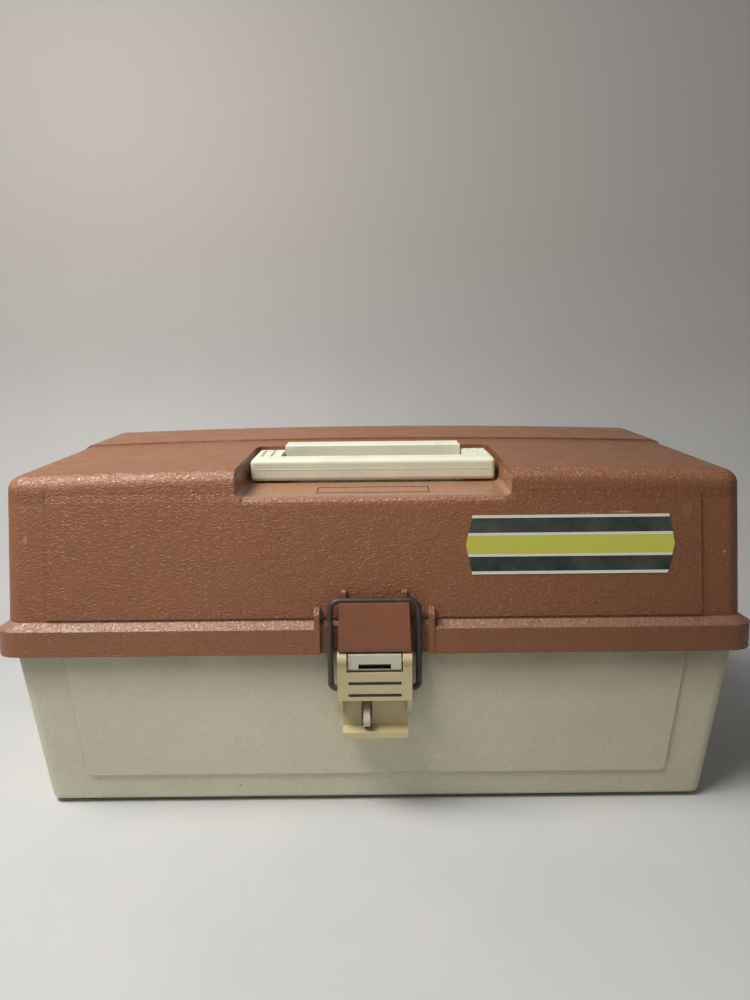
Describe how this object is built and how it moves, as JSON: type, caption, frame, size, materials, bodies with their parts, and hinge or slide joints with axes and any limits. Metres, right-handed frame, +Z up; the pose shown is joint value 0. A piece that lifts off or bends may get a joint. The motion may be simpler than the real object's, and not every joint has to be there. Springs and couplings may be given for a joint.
{
  "type": "tackle box",
  "caption": "Moulded tackle box with a sloping hinged lid, folding handle, wire draw latch and cantilever trays that rise on arms as the lid opens.",
  "frame": {"origin": "on the ground under the middle of the box", "axes": "+X to the right seen from the front, the front faces -Y, +Z up"},
  "size_m": [0.48, 0.2503, 0.244],
  "materials": {
    "brown_plastic": "leather-grained moulded plastic",
    "tan_plastic": "fine-grained moulded plastic",
    "label": "printed striped plate",
    "cream_plastic": "smooth moulded plastic",
    "lever_plastic": "smooth moulded plastic",
    "white_plastic": "smooth moulded plastic",
    "bail_wire": "dark oxidised steel wire",
    "steel": "plated steel",
    "tray_plastic": "moulded plastic",
    "divider_plastic": "moulded plastic",
    "arm_metal": "zinc-plated steel strip"
  },
  "bodies": {
    "base": {"base": "tan_plastic", "hinge_pin_left": "steel", "hinge_pin_right": "steel", "latch_bracket": "white_plastic", "latch_bracket_rivets": "steel", "latch_lever_pin": "steel", "base_arm_rivets": "steel"},
    "lid": {"lid": "brown_plastic", "lid_catch": "brown_plastic", "front_label": "label", "handle_mount": "cream_plastic", "handle_pins": "steel", "left_lid_guide": "arm_metal", "right_lid_guide": "arm_metal"},
    "handle": {"handle": "cream_plastic"},
    "latch_lever": {"latch_lever": "lever_plastic"},
    "latch_bail": {"latch_bail": "bail_wire"},
    "rear_left_arm": {"rear_left_arm": "arm_metal"},
    "front_left_arm": {"front_left_arm": "arm_metal"},
    "rear_right_arm": {"rear_right_arm": "arm_metal"},
    "front_right_arm": {"front_right_arm": "arm_metal"},
    "lower_tray": {"lower_tray": "tray_plastic", "lower_tray_dividers": "divider_plastic", "lower_tray_rivets": "steel"},
    "middle_tray": {"middle_tray": "tray_plastic", "middle_tray_dividers": "divider_plastic", "middle_tray_rivets": "steel"},
    "upper_tray": {"upper_tray": "tray_plastic", "upper_tray_dividers": "divider_plastic", "upper_tray_rivets": "steel", "guide_pins": "steel"}
  },
  "joints": [
    {"name": "lid_hinge", "type": "hinge", "parent": "base", "child": "lid", "pos_m": [0, 0.118, 0.112], "axis": [-1, 0, 0], "range_deg": [0, 100]},
    {"name": "handle_pivot", "type": "hinge", "parent": "lid", "child": "handle", "pos_m": [0, -0.01862, 0.22387], "axis": [-1, 0, 0], "range_deg": [0, 95]},
    {"name": "latch_lever_pivot", "type": "hinge", "parent": "base", "child": "latch_lever", "pos_m": [0, -0.1212, 0.1088], "axis": [-1, 0, 0], "range_deg": [0, 115]},
    {"name": "latch_bail_pivot", "type": "hinge", "parent": "latch_lever", "child": "latch_bail", "pos_m": [0, -0.1185, 0.0893], "axis": [1, 0, 0], "range_deg": [0, 230]},
    {"name": "rear_left_arm_pivot", "type": "hinge", "parent": "base", "child": "rear_left_arm", "pos_m": [0, 0.082, 0.08235], "axis": [-1, 0, 0], "range_deg": [0, 70]},
    {"name": "front_left_arm_pivot", "type": "hinge", "parent": "base", "child": "front_left_arm", "pos_m": [0, 0.05, 0.08235], "axis": [-1, 0, 0], "range_deg": [0, 70]},
    {"name": "rear_right_arm_pivot", "type": "hinge", "parent": "base", "child": "rear_right_arm", "pos_m": [0, 0.082, 0.08235], "axis": [-1, 0, 0], "range_deg": [0, 70]},
    {"name": "front_right_arm_pivot", "type": "hinge", "parent": "base", "child": "front_right_arm", "pos_m": [0, 0.05, 0.08235], "axis": [-1, 0, 0], "range_deg": [0, 70]},
    {"name": "lower_tray_pivot", "type": "hinge", "parent": "front_left_arm", "child": "lower_tray", "pos_m": [0, 0.02052, 0.103], "axis": [1, 0, 0], "range_deg": [0, 70]},
    {"name": "middle_tray_pivot", "type": "hinge", "parent": "front_left_arm", "child": "middle_tray", "pos_m": [0, -0.02374, 0.134], "axis": [1, 0, 0], "range_deg": [0, 70]},
    {"name": "upper_tray_pivot", "type": "hinge", "parent": "front_left_arm", "child": "upper_tray", "pos_m": [0, -0.068, 0.165], "axis": [1, 0, 0], "range_deg": [0, 70]}
  ],
  "couplings": [
    {"joint": "latch_bail_pivot", "follows": "latch_lever_pivot", "ratio": 2},
    {"joint": "rear_left_arm_pivot", "follows": "lid_hinge", "ratio": 0.7},
    {"joint": "front_left_arm_pivot", "follows": "lid_hinge", "ratio": 0.7},
    {"joint": "rear_right_arm_pivot", "follows": "lid_hinge", "ratio": 0.7},
    {"joint": "front_right_arm_pivot", "follows": "lid_hinge", "ratio": 0.7},
    {"joint": "lower_tray_pivot", "follows": "lid_hinge", "ratio": 0.7},
    {"joint": "middle_tray_pivot", "follows": "lid_hinge", "ratio": 0.7},
    {"joint": "upper_tray_pivot", "follows": "lid_hinge", "ratio": 0.7}
  ]
}
